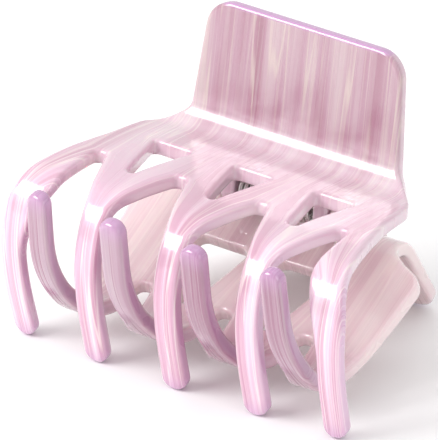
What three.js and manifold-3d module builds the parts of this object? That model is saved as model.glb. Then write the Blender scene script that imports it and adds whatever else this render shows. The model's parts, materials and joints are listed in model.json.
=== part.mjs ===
// Claw clip: two toothed jaws of one moulded profile, a hinge pin and a torsion spring.
// Millimetres, +Z up, X along the hinge. It lies on its front tooth tips and on the end of its rear handle.
import * as THREE from 'three';
import { mergeVertices } from 'three/addons/utils/BufferGeometryUtils.js';
import Module from 'manifold-3d';

// Driving dimensions
const pitch = 19;              // spacing of the teeth along the hinge
const toothWidth = 5.5;
const bodyThickness = 3.3;
const handleThickness = 2.6;
const handleTopWidth = 45;
const handleFootWidth = 48;
const handleLength = 21.7;
const handleCorner = 6;        // radius of the handle's two free corners
const tipRound = 2;            // length over which a tooth rounds off
const bow = 1.6;               // how far the outermost teeth stand back from the middle one
const gapRootHalf = 0.8;       // half width of a tooth gap at its root

const handleAngle = -78;       // direction down the handle; 0 is straight forward
const filletLength = 7.7;
const plateStart = handleLength + filletLength;

// Hinge, in side view from the foot of the handle fillet: forward and up
const hingeForward = -1.4;
const hingeUp = -9.2;
const mirrorAngle = -10.5;     // slope of the plane that the jaws are symmetric about
const restTilt = 4.7;          // turns the clip so that it rests on its teeth and rear handle
const pinRadius = 1.2;
const pinHalfLength = 17.1;
const boreRadius = 1.5;
const knuckleRadius = 3.5;
const knuckleWidth = 3.4;
const frontKnuckle = 10.9;     // centres of the knuckles along the hinge
const rearKnuckle = 14.6;
const wireRadius = 0.5;
const coilRadius = 3;
const coilTurns = 13;
const coilHalfLength = 8;
const legLength = 10.5;
const legAngle = 146;          // direction of the front leg, towards the inside of the front handle

const wasm = await Module();
wasm.setup();

const rad = THREE.MathUtils.degToRad;
const { lerp, clamp, smoothstep } = THREE.MathUtils;
const ease = (s, from, to, a, b) => lerp(a, b, smoothstep(s, from, to));

function steps(from, to, count) {
  return Array.from({ length: count + 1 }, (_, i) => from + (to - from) * i / count);
}

// A jaw's outer face in side view, from the handle's free end to the tips: the length and turn of each arc.
// plateWidth is its width below the handle, and lean how far a tooth two pitches out leans inwards.
function profile({ fillet, body, plateWidth, lean }) {
  const arcs = [[handleLength, 0], [filletLength, fillet], ...body];
  const end = arcs.reduce((sum, [length]) => sum + length, 0);
  return { arcs, end, plateWidth, lean };
}
const frontProfile = profile({
  fillet: 88.4,
  body: [[19, -4.4], [10.9, -10], [10.9, -62], [10.9, -25], [10.9, -10], [9.4, -1]],
  plateWidth: 63.6,
  lean: 1.5,
});
const rearProfile = profile({
  fillet: 83,
  body: [[19, -2], [10.9, -17.4], [10.9, -53.4], [10.9, -14.4], [10.9, -22.6], [10.9, -1.4]],
  plateWidth: 67,
  lean: 3,
});

// Place of the outer face at arc length s and its direction there.
function outline(arcs, s) {
  let forward = 0;
  let up = 0;
  let angle = rad(handleAngle);
  let left = s;
  for (const [length, turn] of arcs) {
    const step = Math.min(left, length);
    const turned = rad(turn) * step / length;
    const chord = turned === 0 ? step : 2 * step / turned * Math.sin(turned / 2);
    forward += chord * Math.cos(angle + turned / 2);
    up += chord * Math.sin(angle + turned / 2);
    angle += turned;
    left -= step;
  }
  return { forward: forward + left * Math.cos(angle), up: up + left * Math.sin(angle), angle };
}

// Maps x, arc length and depth below the outer face into space, with the hinge at the origin.
function bend({ arcs, end, lean }, x, s, depth) {
  const foot = outline(arcs, plateStart);
  const at = outline(arcs, s);
  const along = Math.max(0, (s - plateStart) / (end - plateStart));
  const side = x / (2 * pitch);
  const forward = at.forward - foot.forward + depth * Math.sin(at.angle) - bow * side * side * along;
  const up = at.up - foot.up - depth * Math.cos(at.angle);
  const inwards = lean * side ** 3 * along ** 2;
  return new THREE.Vector3(x - inwards, hingeForward - forward, up - hingeUp);
}

// Half width of the whole jaw, from the handle's end, over the wider plate, to the outermost teeth.
function halfWidth({ plateWidth }, s, outerTooth) {
  const free = Math.max(0, handleCorner - s);
  const corner = handleCorner - Math.sqrt(handleCorner ** 2 - free ** 2);
  const handle = lerp(handleTopWidth, handleFootWidth, s / handleLength) / 2 - corner;
  const plate = ease(s, plateStart - 7, plateStart + 3, handle, plateWidth / 2);
  return ease(s, plateStart + 3, plateStart + 42, plate, outerTooth * pitch + toothWidth / 2);
}

// How full a tooth is at s: 1 over its length, falling along a quarter circle at the tip.
function fullness({ end }, s) {
  const past = clamp((s - (end - tipRound)) / tipRound, 0, 1);
  return Math.sqrt(1 - 0.8 * past * past);
}

function thickness(s) {
  return ease(s, handleLength, plateStart, handleThickness, bodyThickness);
}

function toSolid(geometry) {
  geometry.deleteAttribute('normal');
  geometry.deleteAttribute('uv');
  const merged = mergeVertices(geometry, 1e-5);
  return new wasm.Manifold(new wasm.Mesh({
    numProp: 3,
    vertProperties: new Float32Array(merged.attributes.position.array),
    triVerts: new Uint32Array(merged.index.array),
  }));
}

function toGeometry(solid) {
  const mesh = solid.getMesh();
  const geometry = new THREE.BufferGeometry();
  geometry.setAttribute('position', new THREE.BufferAttribute(mesh.vertProperties, 3));
  geometry.setIndex(new THREE.BufferAttribute(mesh.triVerts, 1));
  return geometry;
}

// A band of the bent sheet through some arc lengths, between two edges and two depths.
function band(shape, stations, across, [left, right], [top, bottom]) {
  const geometry = new THREE.BoxGeometry(1, 1, 1, across, stations.length - 1, 1);
  const position = geometry.attributes.position;
  for (let i = 0; i < position.count; i += 1) {
    const row = Math.round((0.5 - position.getY(i)) * (stations.length - 1));
    const s = stations[row];
    const x = lerp(left(s), right(s), position.getX(i) + 0.5);
    const depth = position.getZ(i) > 0 ? top(s) : bottom(s);
    position.setXYZ(i, ...bend(shape, x, s, depth));
  }
  return toSolid(geometry);
}

const through = [() => -1, () => bodyThickness + 1];
const tipStations = (end) => steps(1, 4, 3).map((k) => end - tipRound + tipRound * Math.sin(k * Math.PI / 8));

// The sheet that the gaps and windows are cut from.
function sheet(shape, outerTooth) {
  const stations = [
    ...steps(0, 6, 6).map((k) => handleCorner * (1 - Math.cos(k * Math.PI / 12))),
    ...steps(handleCorner, handleLength, 2).slice(1),
    ...steps(handleLength, plateStart + 42, 26).slice(1),
    ...steps(plateStart + 42, shape.end - tipRound, 8).slice(1),
    ...tipStations(shape.end),
  ];
  const edge = (s) => halfWidth(shape, s, outerTooth) - toothWidth / 2 * (1 - fullness(shape, s));
  const round = (s) => thickness(s) / 2 * (1 - fullness(shape, s));
  return band(shape, stations, 12, [(s) => -edge(s), edge], [round, (s) => thickness(s) - round(s)]);
}

// The gap between two teeth: narrow at its root, opening from there to one pitch less a tooth.
function toothGap(shape, centre, { root, from, to }) {
  const half = (s) => ease(s, from, to, gapRootHalf, (pitch - toothWidth) / 2)
    + toothWidth / 2 * (1 - fullness(shape, s));
  const stations = [
    ...steps(root, root + 18, 9),
    ...steps(root + 18, shape.end - tipRound, 12).slice(1),
    ...tipStations(shape.end),
    shape.end + 1,
  ];
  return band(shape, stations, 2, [(s) => centre - half(s), (s) => centre + half(s)], through);
}

// A three-sided window in the plate, wide towards the handle and pointed towards the tooth.
function plateWindow(shape, centre, { from, to, width }) {
  const half = (s) => lerp(width / 2, 0.4, (s - from) / (to - from));
  return band(shape, steps(from, to, 6), 2, [(s) => centre - half(s), (s) => centre + half(s)], through);
}

// A round bar along the hinge axis.
function hingeBar(radius, from, to) {
  const geometry = new THREE.CylinderGeometry(radius, radius, to - from, 24);
  geometry.rotateZ(Math.PI / 2);
  geometry.translate((from + to) / 2, 0, 0);
  return toSolid(geometry);
}

// A knuckle: an eye round the pin with a web up into the plate.
function knuckle(centre) {
  const web = new THREE.BoxGeometry(knuckleWidth, 2 * knuckleRadius - 1, 6.6);
  web.translate(centre, 0, 3.3);
  const eye = hingeBar(knuckleRadius, centre - knuckleWidth / 2, centre + knuckleWidth / 2);
  return eye.add(toSolid(web));
}

function jaw({ teeth, shape, gap, window, knuckleAt }) {
  const outerTooth = (teeth - 1) / 2;
  let solid = sheet(shape, outerTooth);
  for (let i = 0; i < teeth - 1; i += 1) {
    solid = solid.subtract(toothGap(shape, (i + 0.5 - outerTooth) * pitch, gap));
  }
  for (let i = 1; i < teeth - 1; i += 1) {
    solid = solid.subtract(plateWindow(shape, (i - outerTooth) * pitch, window));
  }
  solid = solid.add(knuckle(-knuckleAt)).add(knuckle(knuckleAt));
  return toGeometry(solid.subtract(hingeBar(boreRadius, -20, 20)));
}

const frontGeometry = jaw({
  teeth: 5,
  shape: frontProfile,
  gap: { root: plateStart + 19.2, from: plateStart + 15, to: plateStart + 34 },
  window: { from: plateStart + 8.1, to: plateStart + 23.5, width: 9.4 },
  knuckleAt: frontKnuckle,
});
const rearGeometry = jaw({
  teeth: 4,
  shape: rearProfile,
  gap: { root: plateStart + 23.2, from: plateStart + 21, to: plateStart + 46 },
  window: { from: plateStart + 8.4, to: plateStart + 24.5, width: 12.4 },
  knuckleAt: rearKnuckle,
});

// The rear jaw is turned half a turn about the line in the mirror plane, square to the hinge.
const mirrorLine = new THREE.Vector3(0, -Math.cos(rad(mirrorAngle)), Math.sin(rad(mirrorAngle)));
rearGeometry.applyMatrix4(new THREE.Matrix4().makeRotationAxis(mirrorLine, Math.PI));

// A straight pin with two low domed heads.
const pinProfile = [
  [0, -pinHalfLength],
  [1.1, -pinHalfLength + 0.1],
  [1.9, -pinHalfLength + 0.35],
  [1.9, -pinHalfLength + 0.5],
  [pinRadius, -pinHalfLength + 0.5],
];
const otherEnd = pinProfile.map(([r, x]) => [r, -x]).reverse();
const pinOutline = [...pinProfile, ...otherEnd].map(([r, x]) => new THREE.Vector2(r, x));
const pinGeometry = new THREE.LatheGeometry(pinOutline, 24);
pinGeometry.rotateZ(-Math.PI / 2);

// The spring's wire: a leg, a close coil round the pin and a second leg.
class SpringCurve extends THREE.Curve {
  getPoint(t) {
    const frontLeg = rad(legAngle);
    const rearLeg = rad(2 * mirrorAngle - legAngle);
    const coilLength = coilRadius * (2 * Math.PI * coilTurns + frontLeg - rearLeg - Math.PI);
    const travelled = t * (coilLength + 2 * legLength) - legLength;
    const onCoil = clamp(travelled, 0, coilLength);
    const straight = travelled - onCoil;
    const angle = frontLeg - Math.PI / 2 - onCoil / coilRadius;
    const x = lerp(-coilHalfLength, coilHalfLength, onCoil / coilLength);
    const forward = coilRadius * Math.cos(angle) + straight * Math.sin(angle);
    const up = coilRadius * Math.sin(angle) - straight * Math.cos(angle);
    return new THREE.Vector3(x, -forward, up);
  }
}
const wire = new THREE.Shape();
wire.absarc(0, 0, wireRadius, 0, 2 * Math.PI);
const springGeometry = new THREE.ExtrudeGeometry(wire, {
  curveSegments: 5,
  steps: 170,
  bevelEnabled: false,
  extrudePath: new SpringCurve(),
});

const pearl = { color: 0xdcb8d2, roughness: 0.18, metalness: 0 };
const steel = { color: 0xb9b4b0, roughness: 0.3, metalness: 1 };
const clip = new THREE.Group();
const lying = new THREE.Group();
lying.rotation.x = rad(restTilt);
clip.add(lying);

function addPiece(name, geometry, look) {
  const mesh = new THREE.Mesh(geometry, new THREE.MeshStandardMaterial(look));
  mesh.name = name;
  lying.add(mesh);
}
addPiece('front_jaw', frontGeometry, pearl);
addPiece('rear_jaw', rearGeometry, pearl);
addPiece('hinge_pin', pinGeometry, steel);
addPiece('torsion_spring', springGeometry, steel);

// Sets the lowest point on the ground and the middle of the clip over the origin.
const box = new THREE.Box3().setFromObject(clip, true);
clip.position.set(0, -(box.min.y + box.max.y) / 2, -box.min.z);

export default clip;
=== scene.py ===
# Claw clip: two smooth moulded jaws of streaked pearl plastic, a hinge pin and a torsion spring.
# Shapes are worked out in millimetres from the hinge axis and scaled to metres when a mesh is made.
import json
import math
import bpy
import numpy as np
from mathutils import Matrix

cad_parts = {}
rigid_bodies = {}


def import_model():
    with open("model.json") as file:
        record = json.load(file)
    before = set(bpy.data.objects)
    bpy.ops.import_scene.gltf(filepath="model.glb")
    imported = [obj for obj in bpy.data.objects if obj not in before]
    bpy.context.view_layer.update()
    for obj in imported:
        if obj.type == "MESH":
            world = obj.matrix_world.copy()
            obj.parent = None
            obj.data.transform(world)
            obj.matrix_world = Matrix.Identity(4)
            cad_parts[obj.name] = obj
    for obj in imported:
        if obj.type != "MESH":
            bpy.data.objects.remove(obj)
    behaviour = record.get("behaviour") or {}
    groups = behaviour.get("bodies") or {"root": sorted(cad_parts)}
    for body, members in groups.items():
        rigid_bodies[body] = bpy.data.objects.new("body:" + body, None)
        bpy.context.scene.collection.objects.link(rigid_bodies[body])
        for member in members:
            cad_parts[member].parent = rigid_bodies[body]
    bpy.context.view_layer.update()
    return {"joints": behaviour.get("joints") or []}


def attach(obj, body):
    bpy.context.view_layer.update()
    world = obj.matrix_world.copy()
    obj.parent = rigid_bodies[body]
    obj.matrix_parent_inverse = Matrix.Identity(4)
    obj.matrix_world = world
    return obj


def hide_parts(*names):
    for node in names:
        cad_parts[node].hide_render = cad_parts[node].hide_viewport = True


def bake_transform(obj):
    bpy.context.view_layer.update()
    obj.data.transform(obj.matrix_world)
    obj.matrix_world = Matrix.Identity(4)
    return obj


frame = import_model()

import openvdb
from mathutils import Euler, Matrix, Vector
from mathutils.kdtree import KDTree

MM = 0.001
HINGE = np.array(frame["joints"][0]["pos_m"]) / MM
FRONT_BODY = frame["joints"][0]["parent"]
REAR_BODY = frame["joints"][0]["child"]

# The jaw's side view: arc lengths are counted from the foot of the handle, negative up the handle.
PITCH = 19.0                 # spacing of the teeth
TOOTH_WIDTH = 5.5
HANDLE_END = -29.4
HANDLE_LENGTH = 21.7
FILLET_LENGTH = 7.7
FRONT_ARCS = [(19, -4.4), (10.9, -10), (10.9, -62), (10.9, -25), (10.9, -10), (9.4, -1)]
REAR_ARCS = [(19, -2), (10.9, -17.4), (10.9, -53.4), (10.9, -14.4), (10.9, -22.6), (10.9, -1.4)]
HANDLE_ANGLE = -78
HANDLE_THICKNESS = 2.6
BODY_THICKNESS = 3.3
BOW = 1.6                    # how far the outermost teeth stand back from the middle
HINGE_FORWARD = -1.4         # the hinge, from the foot of the handle
HINGE_UP = -9.2
MIRROR_ANGLE = -10.5         # slope of the plane that the two jaws are symmetric about
REST_TILT = 4.7              # how the whole clip is turned where it lies
PROFILE_STEP = 0.05
BEND_EASING = 2.4            # length over which one arc's curvature passes into the next

FRONT_GAP = (19.4, 35.5)     # root of the gap between two teeth, and where it reaches full width
REAR_GAP = (23.4, 46.0)
FRONT_WINDOW = (8.0, 23.4, 9.3)    # top, bottom and width
REAR_WINDOW = (8.1, 24.6, 13.4)

KNUCKLE_RADIUS = 3.5
KNUCKLE_WIDTH = 3.4
KNUCKLE_RIM = 0.45           # rounding of a knuckle's edges
KNUCKLE_BLEND = 1.6          # fillet where a knuckle meets the plate
KNUCKLE_ARC = 4.0            # the arc length that its streaks are taken from
BORE_RADIUS = 1.5
FRONT_KNUCKLE = 10.9
REAR_KNUCKLE = 14.6
PIN_RADIUS = 1.2
PIN_HALF_LENGTH = 17.1
WIRE_RADIUS = 0.5
COIL_RADIUS = 3.0
COIL_TURNS = 13
COIL_HALF_LENGTH = 8.0
LEG_LENGTH = 10.5
LEG_ANGLE = 146

VOXEL = 0.3


def ease(value, start, end, a, b):
    t = np.clip((value - start) / (end - start), 0, 1)
    return a + (b - a) * t * t * (3 - 2 * t)


# ---------------------------------------------------------------- the bent sheet

class Profile:
    """Side view of a jaw's outer face: forward, up and direction at each arc length."""

    def __init__(self, fillet, body, lean):
        arcs = [(HANDLE_LENGTH, 0), (FILLET_LENGTH, fillet)] + body
        self.end = sum(length for length, turn in body)
        self.lean = lean     # how far a tooth two pitches out leans inwards
        self.s = np.arange(HANDLE_END, self.end + 3, PROFILE_STEP)
        curvature = np.zeros(len(self.s))
        start = HANDLE_END
        for length, turn in arcs:
            inside = (self.s >= start) & (self.s < start + length)
            curvature[inside] = math.radians(turn) / length
            start += length
        window = np.hanning(round(BEND_EASING / PROFILE_STEP))
        curvature = np.convolve(curvature, window / window.sum(), mode="same")
        self.angle = math.radians(HANDLE_ANGLE) + np.cumsum(curvature) * PROFILE_STEP
        self.forward = np.cumsum(np.cos(self.angle)) * PROFILE_STEP
        self.up = np.cumsum(np.sin(self.angle)) * PROFILE_STEP
        self.forward -= np.interp(0, self.s, self.forward)
        self.up -= np.interp(0, self.s, self.up)

    def place(self, x, s, depth):
        """Points of the jaw about the hinge, before it is mirrored or laid down."""
        angle = np.interp(s, self.s, self.angle)
        along = np.clip(s / self.end, 0, None)
        side = x / (2 * PITCH)
        forward = np.interp(s, self.s, self.forward) + depth * np.sin(angle)
        forward -= BOW * side ** 2 * along
        up = np.interp(s, self.s, self.up) - depth * np.cos(angle)
        lean = self.lean * side ** 3 * along ** 2
        return np.stack([x - lean, HINGE_FORWARD - forward, up - HINGE_UP], axis=1)


FRONT = Profile(88.4, FRONT_ARCS, 1.5)
REAR = Profile(83, REAR_ARCS, 3)


def lie_down(points, mirrored):
    """Turns points about the hinge into the object's frame, in metres; the rear jaw is turned over first."""
    if mirrored:
        slope = math.radians(MIRROR_ANGLE)
        line = np.array([0, -math.cos(slope), math.sin(slope)])
        points = 2 * np.outer(points @ line, line) - points
    turn = np.array(Euler((math.radians(REST_TILT), 0, 0)).to_matrix())
    return (points @ turn.T + HINGE) * MM


# ---------------------------------------------------------------- outlines in the flat sheet

def rounded(corners, spacing=0.12):
    """A closed line through (x, s, radius) corners, with each corner rounded, as evenly spaced points."""
    points = []
    count = len(corners)
    for i, (x, s, radius) in enumerate(corners):
        corner = np.array([x, s])
        before = np.array(corners[i - 1][:2]) - corner
        after = np.array(corners[(i + 1) % count][:2]) - corner
        room = 0.49 * min(np.linalg.norm(before), np.linalg.norm(after))
        before /= np.linalg.norm(before)
        after /= np.linalg.norm(after)
        half = math.acos(np.clip(before @ after, -1, 1)) / 2
        reach = min(radius / math.tan(half), room)
        radius = reach * math.tan(half)
        if radius < 1e-3:
            points.append(corner)
            continue
        middle = before + after
        centre = corner + middle / np.linalg.norm(middle) * (radius / math.sin(half))
        first = corner + before * reach - centre
        last = corner + after * reach - centre
        turn = math.atan2(first[0] * last[1] - first[1] * last[0], first @ last)
        for t in np.linspace(0, 1, max(3, int(abs(turn) * radius / spacing) + 1)):
            cos = math.cos(turn * t)
            sin = math.sin(turn * t)
            points.append(centre + [first[0] * cos - first[1] * sin, first[0] * sin + first[1] * cos])
    points = np.array(points + points[:1])
    length = np.concatenate([[0], np.cumsum(np.linalg.norm(np.diff(points, axis=0), axis=1))])
    even = np.arange(0, length[-1], spacing)
    return np.stack([np.interp(even, length, points[:, k]) for k in (0, 1)], axis=1)


def tip(centre, end):
    """The round tip of a tooth, from its right side to its left."""
    half = TOOTH_WIDTH / 2
    return [(centre + half, end, half - 0.1), (centre - half, end, half - 0.1)]


def mirrored_outline(right_side):
    """A whole closed outline from the corners of its right side, listed from the handle's end to the tips."""
    left_side = [(-x, s, radius) for x, s, radius in reversed(right_side) if x > 0]
    return right_side + left_side


def front_outline():
    """The front jaw's edge. The gaps beside the end teeth lean outwards, the inner two are straight."""
    root, full = FRONT_GAP
    wide = (PITCH - TOOTH_WIDTH) / 2
    inner = PITCH / 2
    outer = 1.5 * PITCH
    right = [
        (22.5, HANDLE_END, 6),
        (24.4, -6.2, 3),
        (31.4, 0.4, 6),
        (32.7, 11, 25),
        (2 * PITCH + TOOTH_WIDTH / 2, 45, 40),
        *tip(2 * PITCH, FRONT.end),
        (2 * PITCH - TOOTH_WIDTH / 2, 50, 25),
        (outer + 1.9, 35, 18),
        (outer + 1.1, 19.6, 1.1),
        (outer - 1.3, 19.6, 1.1),
        (outer - wide, full, 25),
        *tip(PITCH, FRONT.end),
        (inner + wide, full, 25),
        (inner + 1.3, root, 1.2),
        (inner - 1.3, root, 1.2),
        (inner - wide, full, 25),
        tip(0, FRONT.end)[0],
    ]
    return mirrored_outline(right)


def rear_outline():
    """The rear jaw's edge: every gap widens in the same way."""
    root, full = REAR_GAP
    wide = (PITCH - TOOTH_WIDTH) / 2
    right = [
        (22.5, HANDLE_END, 6),
        (24.4, -1.6, 2.5),
        (33.6, 2.6, 4),
        (33.2, 10, 25),
        (1.5 * PITCH + TOOTH_WIDTH / 2, 38, 60),
        *tip(1.5 * PITCH, REAR.end),
        (PITCH + wide, full, 20),
        (PITCH + 2.6, 31, 12),
        (PITCH + 1.5, root, 1.4),
        (PITCH - 1.5, root, 1.4),
        (PITCH - 2.6, 31, 12),
        (PITCH - wide, full, 20),
        *tip(0.5 * PITCH, REAR.end),
        (wide, full, 20),
        (2.6, 31, 12),
        (1.5, root, 1.4),
    ]
    return mirrored_outline(right)


def window(centre, opening, corner):
    """A window, wide towards the handle and nearly pointed towards the tooth."""
    top, bottom, width = opening
    return [
        (centre - width / 2, top, corner),
        (centre + width / 2, top, corner),
        (centre + 0.7, bottom, 0.7),
        (centre - 0.7, bottom, 0.7),
    ]


def area(loop):
    x, s = loop[:, 0], loop[:, 1]
    return 0.5 * np.sum(x * np.roll(s, -1) - s * np.roll(x, -1))


def flat_distance(outline, windows, xs, ss):
    """Signed distance to the sheet's edge at each (x, s): negative on material."""
    loops = []
    for corners, turn in [(outline, 1)] + [(opening, -1) for opening in windows]:
        loop = rounded(corners)
        loops.append(loop if area(loop) * turn > 0 else loop[::-1])
    tangents = [np.roll(loop, -1, axis=0) - np.roll(loop, 1, axis=0) for loop in loops]
    points = np.concatenate(loops)
    tangents = np.concatenate(tangents)
    outward = np.stack([tangents[:, 1], -tangents[:, 0]], axis=1)
    outward /= np.linalg.norm(outward, axis=1)[:, None]
    tree = KDTree(len(points))
    for i, (x, s) in enumerate(points):
        tree.insert((x, s, 0), i)
    tree.balance()
    distance = np.empty((len(xs), len(ss)))
    for i, x in enumerate(xs):
        nearest = [tree.find((x, s, 0))[1] for s in ss]
        offset = np.stack([x - points[nearest, 0], ss - points[nearest, 1]], axis=1)
        distance[i] = np.einsum("ij,ij->i", offset, outward[nearest])
    return distance


# ---------------------------------------------------------------- meshes

def surface_of(field, origin, step):
    """Points and quads of a field's zero surface."""
    grid = openvdb.FloatGrid(1.0)
    grid.copyFromArray(np.ascontiguousarray(field, dtype=np.float32))
    points, quads = grid.convertToQuads()
    return points * step + origin, quads


def make_piece(name, points, faces, body, material, flow=None):
    """A smooth mesh with its faces pointing out, riding on a body."""
    corners = points[faces[:, :3]]
    volume = np.einsum("ij,ij->i", corners[:, 0], np.cross(corners[:, 1], corners[:, 2])).sum()
    if faces.shape[1] == 4:
        other = points[faces[:, [0, 2, 3]]]
        volume += np.einsum("ij,ij->i", other[:, 0], np.cross(other[:, 1], other[:, 2])).sum()
    if volume < 0:
        faces = faces[:, ::-1]
    mesh = bpy.data.meshes.new(name)
    mesh.from_pydata(points.tolist(), [], faces.tolist())
    mesh.polygons.foreach_set("use_smooth", [True] * len(mesh.polygons))
    if flow is not None:
        attribute = mesh.attributes.new("flow", "FLOAT_VECTOR", "POINT")
        attribute.data.foreach_set("vector", flow.astype(np.float32).ravel())
    mesh.materials.append(material)
    mesh.update()
    piece = bpy.data.objects.new(name, mesh)
    bpy.context.scene.collection.objects.link(piece)
    if body:
        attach(piece, body)
    return piece


def sheet_thickness(s):
    return ease(s, HANDLE_END + HANDLE_LENGTH, 0, HANDLE_THICKNESS, BODY_THICKNESS)


def rounded_slab(across, through, rim):
    """Field of a slab with a rounded rim, from the distances to its edge and to its faces."""
    across = across + rim
    through = through + rim
    corner = np.hypot(np.maximum(across, 0), np.maximum(through, 0))
    return corner + np.minimum(np.maximum(across, through), 0) - rim


def rounded_sheet(profile, outline, windows):
    """The unbent jaw as points (x, s, depth) and quads, its edges rounder on the teeth than the handle."""
    margin = 3 * VOXEL
    xs = np.arange(-2.2 * PITCH, 2.2 * PITCH, VOXEL)
    ss = np.arange(HANDLE_END - margin, profile.end + margin, VOXEL)
    depths = np.arange(-margin, BODY_THICKNESS + margin, VOXEL)
    distance = flat_distance(outline, windows, xs, ss)[:, :, None]
    half = (sheet_thickness(ss) / 2)[None, :, None]
    edge = ease(ss, 2, 34, 0.7, 1.15)[None, :, None]
    edge = np.minimum(edge, half - 0.05)
    field = rounded_slab(distance, np.abs(depths[None, None, :] - half) - half, edge)
    origin = np.array([xs[0], ss[0], depths[0]])
    return surface_of(np.clip(field, -1, 1), origin, VOXEL)


def streak_lines(flat, teeth, gap, opening):
    """Flow coordinates: x is changed so that lines of equal x run down the strands and into the teeth.
    gap is (root, wide) and opening (top, bottom, width), as the outlines have them."""
    x, s, depth = flat.T
    last = (teeth - 1) / 2 * PITCH
    centre = np.clip(np.round((x + last) / PITCH) * PITCH - last, -last, last)
    offset = x - centre
    windowed = np.abs(centre) < last - 1
    outside = np.interp(s, [gap[0], gap[1]], [PITCH / 2, TOOTH_WIDTH / 2])
    inside = np.where(windowed, np.interp(s, opening[:2], [opening[2] / 2, 0]), 0)
    start = np.where(windowed, opening[2] / 2, 0)
    painted_sheen_share = np.clip((np.abs(offset) - inside) / (outside - inside), -3, 3)
    spread = start + painted_sheen_share * (PITCH / 2 - start)
    side = np.where(offset < 0, -1, 1)
    return np.stack([centre + side * spread, s, depth], axis=1)


def jaw(name, profile, outline, windows, flow, mirrored, body, material):
    flat, quads = rounded_sheet(profile, outline, windows)
    points = lie_down(profile.place(flat[:, 0], flat[:, 1], flat[:, 2]), mirrored)
    return make_piece(name, points, quads, body, material, streak_lines(flat, *flow))


def soft_min(a, b, blend):
    h = np.clip(0.5 + 0.5 * (b - a) / blend, 0, 1)
    return b + (a - b) * h - blend * h * (1 - h)


def knuckle(name, profile, centre, mirrored, body, material):
    """An eye round the pin with a web that spreads into the underside of the plate."""
    step = VOXEL * 0.8
    xs = np.arange(-5, 5, step)
    ys = np.arange(-6.5, 6.5, step)
    zs = np.arange(-4.5, 10.5, step)
    middle = profile.place(np.zeros(len(profile.s)), profile.s, np.full(len(profile.s), BODY_THICKNESS / 2))
    tree = KDTree(len(middle))
    for i, (_, y, z) in enumerate(middle):
        tree.insert((0, y, z), i)
    tree.balance()
    nearest = np.array([[tree.find((0, y, z))[1] for z in zs] for y in ys])
    angle = profile.angle[nearest]
    away = np.stack([ys[:, None] - middle[nearest, 1], zs[None, :] - middle[nearest, 2]])
    plate = np.hypot(*away) - BODY_THICKNESS / 2 + 0.15
    outwards = away[0] * np.sin(angle) + away[1] * np.cos(angle)
    x, y, z = np.meshgrid(xs, ys, zs, indexing="ij")
    radial = np.hypot(y, z)
    reach = np.where(z > 0, np.abs(y) - KNUCKLE_RADIUS + 0.5 * np.clip(z / 4, 0, 1), radial - KNUCKLE_RADIUS)
    lug = rounded_slab(reach, np.abs(x) - KNUCKLE_WIDTH / 2, KNUCKLE_RIM)
    field = soft_min(lug, np.broadcast_to(plate[None], lug.shape), KNUCKLE_BLEND)
    field = np.maximum(field, BORE_RADIUS - radial)
    limit = np.maximum(np.abs(x) - 4.2, np.abs(y) - 5.8)
    field = np.maximum(field, limit)
    field = np.maximum(field, np.broadcast_to(outwards[None], lug.shape) - 0.6)
    local, quads = surface_of(np.clip(field, -1, 1), np.array([xs[0], ys[0], zs[0]]), step)
    local[:, 0] += centre
    flow = np.stack([local[:, 0], np.full(len(local), KNUCKLE_ARC), np.full(len(local), 1.5)], axis=1)
    return make_piece(name, lie_down(local, mirrored), quads, body, material, flow)


def tube_faces(rings, sides):
    """Quads that join each ring of points to the next."""
    faces = []
    for ring in range(rings - 1):
        for k in range(sides):
            a = ring * sides + k
            b = ring * sides + (k + 1) % sides
            faces.append([a, b, b + sides, a + sides])
    return np.array(faces)


def swept(path, radii, sides):
    """An open round tube along a path, as points and quads."""
    tangent = np.gradient(path, axis=0)
    tangent /= np.linalg.norm(tangent, axis=1)[:, None]
    across = np.cross(tangent[0], [0, 0, 1.0])
    rings = []
    for point, direction, radius in zip(path, tangent, radii):
        across = across - direction * (across @ direction)
        across /= np.linalg.norm(across)
        other = np.cross(direction, across)
        turns = np.arange(sides) * 2 * math.pi / sides
        rings.append(point + radius * (np.outer(np.cos(turns), across) + np.outer(np.sin(turns), other)))
    return np.concatenate(rings), tube_faces(len(path), sides)


def cap(points, faces, sides):
    """Closes both ends of a tube with a fan of quads folded round one point each."""
    last = len(points) - sides
    points = np.concatenate([points, points[:sides].mean(0)[None], points[last:].mean(0)[None]])
    first_middle, last_middle = len(points) - 2, len(points) - 1
    fans = []
    for k in range(0, sides, 2):
        a, b, c = k, (k + 1) % sides, (k + 2) % sides
        fans.append([first_middle, c, b, a])
        fans.append([last_middle, last + a, last + b, last + c])
    return points, np.concatenate([faces, np.array(fans)])


def rounded_ends(count, radius, lengths, rim):
    """A tube's radius along its length, with both ends rounded off over the rim."""
    from_end = np.minimum(lengths, lengths[-1] - lengths)
    t = np.clip(from_end / rim, 0, 1)
    return radius * (0.25 + 0.75 * np.sqrt(1 - (1 - t) ** 2))


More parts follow.
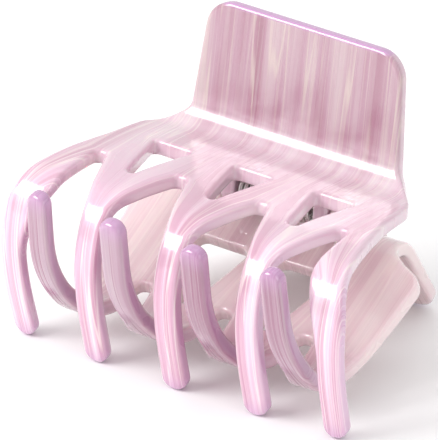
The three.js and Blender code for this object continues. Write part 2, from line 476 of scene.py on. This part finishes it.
def spring(material):
    """Wire with a leg behind each handle and a close coil round the pin."""
    front_leg = math.radians(LEG_ANGLE)
    rear_leg = math.radians(2 * MIRROR_ANGLE - LEG_ANGLE)
    coil = COIL_RADIUS * (2 * math.pi * COIL_TURNS + front_leg - rear_leg - math.pi)
    legs = np.concatenate([[0, 0.08, 0.2, 0.35, 0.5], np.linspace(1, LEG_LENGTH, 14)])
    travelled = np.concatenate([legs - LEG_LENGTH, np.linspace(0, coil, COIL_TURNS * 28)[1:-1],
                                coil + LEG_LENGTH - legs[::-1]])
    on_coil = np.clip(travelled, 0, coil)
    straight = travelled - on_coil
    angle = front_leg - math.pi / 2 - on_coil / COIL_RADIUS
    x = -COIL_HALF_LENGTH + 2 * COIL_HALF_LENGTH * on_coil / coil
    forward = COIL_RADIUS * np.cos(angle) + straight * np.sin(angle)
    up = COIL_RADIUS * np.sin(angle) - straight * np.cos(angle)
    path = np.stack([x, -forward, up], axis=1)
    radii = rounded_ends(len(path), WIRE_RADIUS, travelled - travelled[0], 0.4)
    points, faces = cap(*swept(path, radii, 12), 12)
    piece = make_piece("torsion_spring_wire", lie_down(points, False), faces, None, material)
    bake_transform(piece)
    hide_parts("torsion_spring")


def pin(material):
    """A straight pin with a low domed head at each end."""
    end = PIN_HALF_LENGTH
    half = [(0.02, end), (0.7, end - 0.03), (1.3, end - 0.12), (1.7, end - 0.24), (1.86, end - 0.33),
            (1.9, end - 0.4), (1.88, end - 0.47), (1.8, end - 0.5), (PIN_RADIUS + 0.05, end - 0.5),
            (PIN_RADIUS, end - 0.56), (PIN_RADIUS, end - 1.5)]
    line = [(r, -x) for r, x in half] + [(r, x) for r, x in reversed(half)]
    sides = 48
    turns = np.arange(sides) * 2 * math.pi / sides
    rings = [np.stack([np.full(sides, x), r * np.cos(turns), r * np.sin(turns)], axis=1) for r, x in line]
    faces = tube_faces(len(line), sides)
    points, faces = cap(np.concatenate(rings), faces, sides)
    piece = make_piece("hinge_pin_turned", lie_down(points, False), faces, FRONT_BODY, material)
    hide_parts("hinge_pin")


# ---------------------------------------------------------------- materials

def nodes_of(name):
    material = bpy.data.materials.new(name)
    material.use_nodes = True
    tree = material.node_tree
    return material, tree, tree.nodes["Principled BSDF"]


def add(tree, kind, **settings):
    node = tree.nodes.new(kind)
    for key, value in settings.items():
        setattr(node, key, value)
    return node


def join(tree, source, target):
    tree.links.new(source, target)


def ramp(tree, factor, stops):
    """A colour ramp through (position, colour) stops."""
    node = add(tree, "ShaderNodeValToRGB")
    elements = node.color_ramp.elements
    while len(elements) < len(stops):
        elements.new(0.5)
    for element, (position, colour) in zip(elements, stops):
        element.position = position
        element.color = (*colour, 1)
    join(tree, factor, node.inputs["Fac"])
    return node.outputs["Color"]


def streak_noise(tree, flow, scale, seed, detail, distortion=0.0):
    """Noise drawn out along the sheet: scale is (across, along, through) in cycles per millimetre."""
    mapping = add(tree, "ShaderNodeMapping")
    mapping.inputs["Scale"].default_value = scale
    mapping.inputs["Location"].default_value = (seed, seed * 0.37, seed * 0.71)
    join(tree, flow, mapping.inputs["Vector"])
    noise = add(tree, "ShaderNodeTexNoise")
    noise.inputs["Scale"].default_value = 1.0
    noise.inputs["Detail"].default_value = detail
    noise.inputs["Roughness"].default_value = 0.55
    noise.inputs["Distortion"].default_value = distortion
    join(tree, mapping.outputs["Vector"], noise.inputs["Vector"])
    return noise.outputs["Fac"]


def mixed(tree, factor, a, b, mode="MIX"):
    node = add(tree, "ShaderNodeMix", data_type="RGBA", blend_type=mode)
    for value, socket in ((factor, node.inputs[0]), (a, node.inputs[6]), (b, node.inputs[7])):
        if isinstance(value, (int, float)):
            socket.default_value = value
        elif isinstance(value, tuple):
            socket.default_value = (*value, 1)
        else:
            join(tree, value, socket)
    return node.outputs[2]


def between(tree, value, low, high):
    """0 below low, 1 above high, smooth between."""
    node = add(tree, "ShaderNodeMapRange", interpolation_type="SMOOTHSTEP")
    node.inputs["From Min"].default_value = low
    node.inputs["From Max"].default_value = high
    join(tree, value, node.inputs["Value"])
    return node.outputs["Result"]


def product(tree, a, b):
    """a times b, where b is a socket or a number."""
    node = add(tree, "ShaderNodeMath", operation="MULTIPLY")
    join(tree, a, node.inputs[0])
    if isinstance(b, (int, float)):
        node.inputs[1].default_value = b
    else:
        join(tree, b, node.inputs[1])
    return node.outputs[0]


def ridge(tree, value, width):
    """1 along the thin lines where the value passes through a half, 0 further off."""
    offset = add(tree, "ShaderNodeMath", operation="SUBTRACT")
    join(tree, value, offset.inputs[0])
    offset.inputs[1].default_value = 0.5
    size = add(tree, "ShaderNodeMath", operation="ABSOLUTE")
    join(tree, offset.outputs[0], size.inputs[0])
    return between(tree, size.outputs[0], width, 0)


def pearl_plastic(name, tone, painted_light_zones, end, seed):
    """Streaked pearl: mauve and lilac bands with pale and cream threads that run down the sheet.
    Each entry gives (arc length, painted shade, share of the pale tone painted on as sheen), from the handle
    to the tips: the colour is darkened or paled for how light falls along the sheet."""
    material, tree, shader = nodes_of(name)
    flow = add(tree, "ShaderNodeAttribute", attribute_name="flow").outputs["Vector"]
    split = add(tree, "ShaderNodeSeparateXYZ")
    join(tree, flow, split.inputs[0])

    bands = streak_noise(tree, flow, (0.15, 0.010, 0.02), seed, 2.0, 0.3)
    colour = ramp(tree, bands, [
        (0.34, tone["deep"]),
        (0.44, tone["rose"]),
        (0.52, tone["base"]),
        (0.64, tone["pale"]),
    ])
    fine = streak_noise(tree, flow, (0.7, 0.012, 0.03), seed + 11, 3.0, 0.1)
    colour = mixed(tree, product(tree, between(tree, fine, 0.45, 0.68), 0.5), colour, tone["pale"])
    hair = streak_noise(tree, flow, (2.2, 0.03, 0.05), seed + 31, 2.0)
    colour = mixed(tree, product(tree, between(tree, hair, 0.52, 0.68), 0.3), colour, tone["rose"])
    for scale, width, strength, shift in ((0.22, 0.020, 0.60, 23), (0.5, 0.03, 0.35, 61)):
        threads = streak_noise(tree, flow, (scale, 0.008, 0.02), seed + shift, 1.0, 0.1)
        colour = mixed(tree, product(tree, ridge(tree, threads, width), strength), colour, tone["cream"])

    # Painted light and shade along the sheet: the shade ramp darkens the handle and the rear teeth as painted
    # shade, and the share ramp mixes the pale tone into the plate and the rear jaw's inner face as a painted
    # sheen.
    along = add(tree, "ShaderNodeMapRange")
    along.inputs["From Min"].default_value = HANDLE_END
    along.inputs["From Max"].default_value = end
    join(tree, split.outputs["Y"], along.inputs["Value"])
    span = end - HANDLE_END
    places = [(s - HANDLE_END) / span for s, _, _ in painted_light_zones]
    painted_shade = ramp(tree, along.outputs["Result"], [(at, painted_zone[1]) for at, painted_zone in zip(places, painted_light_zones)])
    painted_sheen_share = ramp(tree, along.outputs["Result"], [(at, (painted_zone[2],) * 3) for at, painted_zone in zip(places, painted_light_zones)])
    colour = mixed(tree, painted_sheen_share, colour, tone["pale"])
    colour = mixed(tree, 1.0, colour, painted_shade, "MULTIPLY")

    # Painted light on the side walls: the body's walls are paled as a painted reflection, and the teeth's
    # sides are painted a deeper lilac for light shining through the thin plastic.
    depth = split.outputs["Z"]
    painted_wall_light = product(tree, between(tree, depth, 0.3, 1.3), between(tree, depth, 3.2, 2.2))
    tooth = between(tree, split.outputs["Y"], 26, 40)
    painted_wall_colour = mixed(tree, tooth, tone["pale"], tone["edge"])
    colour = mixed(tree, product(tree, painted_wall_light, 0.45), colour, painted_wall_colour)
    tip = between(tree, split.outputs["Y"], end - 6, end + 1.5)
    colour = mixed(tree, product(tree, tip, 0.8), colour, tone["edge"])
    top = between(tree, split.outputs["Y"], HANDLE_END + 1.1, HANDLE_END + 0.2)
    colour = mixed(tree, top, colour, tone["edge"])

    join(tree, colour, shader.inputs["Base Color"])
    rough = add(tree, "ShaderNodeMapRange")
    rough.inputs["To Min"].default_value = 0.10
    rough.inputs["To Max"].default_value = 0.45
    join(tree, fine, rough.inputs["Value"])
    join(tree, rough.outputs["Result"], shader.inputs["Roughness"])
    shader.inputs["Specular IOR Level"].default_value = 0.5
    shader.inputs["IOR"].default_value = 1.5
    shader.inputs["Coat Weight"].default_value = 1.0
    shader.inputs["Coat IOR"].default_value = 1.7
    shader.inputs["Coat Roughness"].default_value = 0.12
    shader.inputs["Subsurface Weight"].default_value = 0.25
    shader.inputs["Subsurface Radius"].default_value = (1.0, 0.55, 0.8)
    shader.inputs["Subsurface Scale"].default_value = 0.0025
    bump = add(tree, "ShaderNodeBump")
    bump.inputs["Strength"].default_value = 0.04
    bump.inputs["Distance"].default_value = 0.0003
    ripple = streak_noise(tree, flow, (0.12, 0.10, 0.1), seed + 5, 1.0)
    join(tree, ripple, bump.inputs["Height"])
    join(tree, bump.outputs["Normal"], shader.inputs["Normal"])
    return material


def steel(name, colour, roughness, grain):
    """Bright wire or pin steel with fine scratches round it."""
    material, tree, shader = nodes_of(name)
    position = add(tree, "ShaderNodeTexCoord").outputs["Object"]
    mapping = add(tree, "ShaderNodeMapping")
    mapping.inputs["Scale"].default_value = grain
    join(tree, position, mapping.inputs["Vector"])
    noise = add(tree, "ShaderNodeTexNoise")
    noise.inputs["Scale"].default_value = 1.0
    noise.inputs["Detail"].default_value = 4.0
    join(tree, mapping.outputs["Vector"], noise.inputs["Vector"])
    dull = tuple(0.72 * c for c in colour)
    join(tree, ramp(tree, noise.outputs["Fac"], [(0.3, dull), (0.7, colour)]), shader.inputs["Base Color"])
    rough = add(tree, "ShaderNodeMapRange")
    rough.inputs["To Min"].default_value = roughness * 0.7
    rough.inputs["To Max"].default_value = roughness * 1.4
    join(tree, noise.outputs["Fac"], rough.inputs["Value"])
    join(tree, rough.outputs["Result"], shader.inputs["Roughness"])
    shader.inputs["Metallic"].default_value = 1.0
    bump = add(tree, "ShaderNodeBump")
    bump.inputs["Strength"].default_value = 0.15
    bump.inputs["Distance"].default_value = 0.00005
    join(tree, noise.outputs["Fac"], bump.inputs["Height"])
    join(tree, bump.outputs["Normal"], shader.inputs["Normal"])
    return material


# ---------------------------------------------------------------- the clip

front_tone = {
    "deep": (0.53, 0.23, 0.35),
    "rose": (0.63, 0.33, 0.47),
    "base": (0.72, 0.45, 0.60),
    "pale": (0.84, 0.66, 0.75),
    "cream": (0.97, 0.88, 0.82),
    "edge": (0.50, 0.27, 0.48),
}
rear_tone = {
    "deep": (0.54, 0.24, 0.34),
    "rose": (0.64, 0.35, 0.44),
    "base": (0.74, 0.50, 0.55),
    "pale": (0.86, 0.72, 0.72),
    "cream": (0.97, 0.88, 0.80),
    "edge": (0.50, 0.27, 0.48),
}
# Painted light and shade along the front jaw: the handle is darkened most as painted shade, and the fillet
# and plate are paled as a painted sheen.
front_painted_light = [
    (-10, (0.57, 0.52, 0.50), 0.0),
    (-3, (0.84, 0.86, 0.82), 0.45),
    (26, (0.86, 0.86, 0.84), 0.30),
    (44, (1, 1, 1), 0.15),
]
# Painted light and shade along the rear jaw: the handle and inner face are paled as a painted sheen, and the
# teeth are darkened as painted shade.
rear_painted_light = [
    (-10, (1, 1, 1), 0.6),
    (20, (1, 1, 1), 0.6),
    (36, (0.76, 0.66, 0.74), 0.1),
    (50, (0.52, 0.42, 0.52), 0.0),
]
front_pearl = pearl_plastic("pearl_front", front_tone, front_painted_light, FRONT.end, 3.0)
rear_pearl = pearl_plastic("pearl_rear", rear_tone, rear_painted_light, REAR.end, 47.0)
wire_steel = steel("drawn_wire", (0.62, 0.60, 0.58), 0.28, (300, 4000, 4000))
pin_steel = steel("pin_nickel", (0.78, 0.76, 0.73), 0.22, (300, 3000, 3000))

front_windows = [window(x, FRONT_WINDOW, 0.9) for x in (-PITCH, 0, PITCH)]
rear_windows = [window(x, REAR_WINDOW, 1.8) for x in (-PITCH / 2, PITCH / 2)]
front_flow = (5, FRONT_GAP, FRONT_WINDOW)
front_jaw = jaw("front_jaw_moulding", FRONT, front_outline(), front_windows, front_flow, False, FRONT_BODY,
                front_pearl)
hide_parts("front_jaw")
rear_flow = (4, REAR_GAP, REAR_WINDOW)
rear_jaw = jaw("rear_jaw_moulding", REAR, rear_outline(), rear_windows, rear_flow, True, REAR_BODY,
               rear_pearl)
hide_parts("rear_jaw")
for side, label in ((-1, "left"), (1, "right")):
    knuckle(f"front_knuckle_{label}", FRONT, side * FRONT_KNUCKLE, False, FRONT_BODY,
            front_pearl)
    knuckle(f"rear_knuckle_{label}", REAR, side * REAR_KNUCKLE, True, REAR_BODY,
            rear_pearl)
pin(pin_steel)
spring(wire_steel)


# ---------------------------------------------------------------- stage, light and camera

def floor():
    material, tree, shader = nodes_of("pale_floor")
    shader.inputs["Base Color"].default_value = (0.93, 0.93, 0.93, 1)
    shader.inputs["Roughness"].default_value = 0.7
    mesh = bpy.data.meshes.new("floor")
    mesh.from_pydata([(-3, -3, 0), (3, -3, 0), (3, 3, 0), (-3, 3, 0)], [], [(0, 1, 2, 3)])
    mesh.materials.append(material)
    plane = bpy.data.objects.new("floor", mesh)
    bpy.context.scene.collection.objects.link(plane)


def softbox(name, place, target, width, height, power):
    light = bpy.data.lights.new(name, "AREA")
    light.shape = "RECTANGLE"
    light.size = width
    light.size_y = height
    light.energy = power
    holder = bpy.data.objects.new(name, light)
    bpy.context.scene.collection.objects.link(holder)
    holder.location = place
    holder.rotation_euler = (Vector(target) - Vector(place)).to_track_quat("-Z", "Y").to_euler()


def surroundings(strength):
    world = bpy.data.worlds.new("studio")
    world.use_nodes = True
    background = world.node_tree.nodes["Background"]
    background.inputs["Color"].default_value = (1, 1, 1, 1)
    background.inputs["Strength"].default_value = strength
    bpy.context.scene.world = world


def camera(azimuth, elevation, roll, aim, distance, frame_height):
    """Looks at aim from that side; azimuth 0 looks along +Y. frame_height is what the frame holds at aim."""
    data = bpy.data.cameras.new("camera")
    data.sensor_width = 36
    data.lens = 36 * distance / frame_height
    data.clip_start = 0.01
    data.clip_end = 20
    holder = bpy.data.objects.new("camera", data)
    bpy.context.scene.collection.objects.link(holder)
    a, e = math.radians(azimuth), math.radians(elevation)
    back = Vector((math.sin(a) * math.cos(e), -math.cos(a) * math.cos(e), math.sin(e)))
    turn = back.to_track_quat("Z", "Y").to_matrix() @ Matrix.Rotation(math.radians(roll), 3, "Z")
    holder.matrix_world = Matrix.Translation(Vector(aim) + back * distance) @ turn.to_4x4()
    bpy.context.scene.camera = holder


bpy.context.scene.view_settings.view_transform = "Standard"
floor()
surroundings(0.84)
softbox("key", (-0.38, -0.50, 0.48), (0, 0, 0.03), 0.46, 0.36, 3.9)
softbox("glow", (-0.44, -0.70, 0.46), (0, 0, 0.03), 0.60, 0.60, 0.9)
softbox("top", (0.10, 0.10, 0.62), (0, 0, 0.03), 0.50, 0.40, 0.3)
softbox("side", (0.60, -0.20, 0.30), (0, 0, 0.03), 0.12, 0.40, 0.5)
aim = HINGE * MM + np.array([-0.006883, -0.011884, -0.002230])
camera(33.357, 26.276, 1.832, aim, 2.1111, 0.08607)
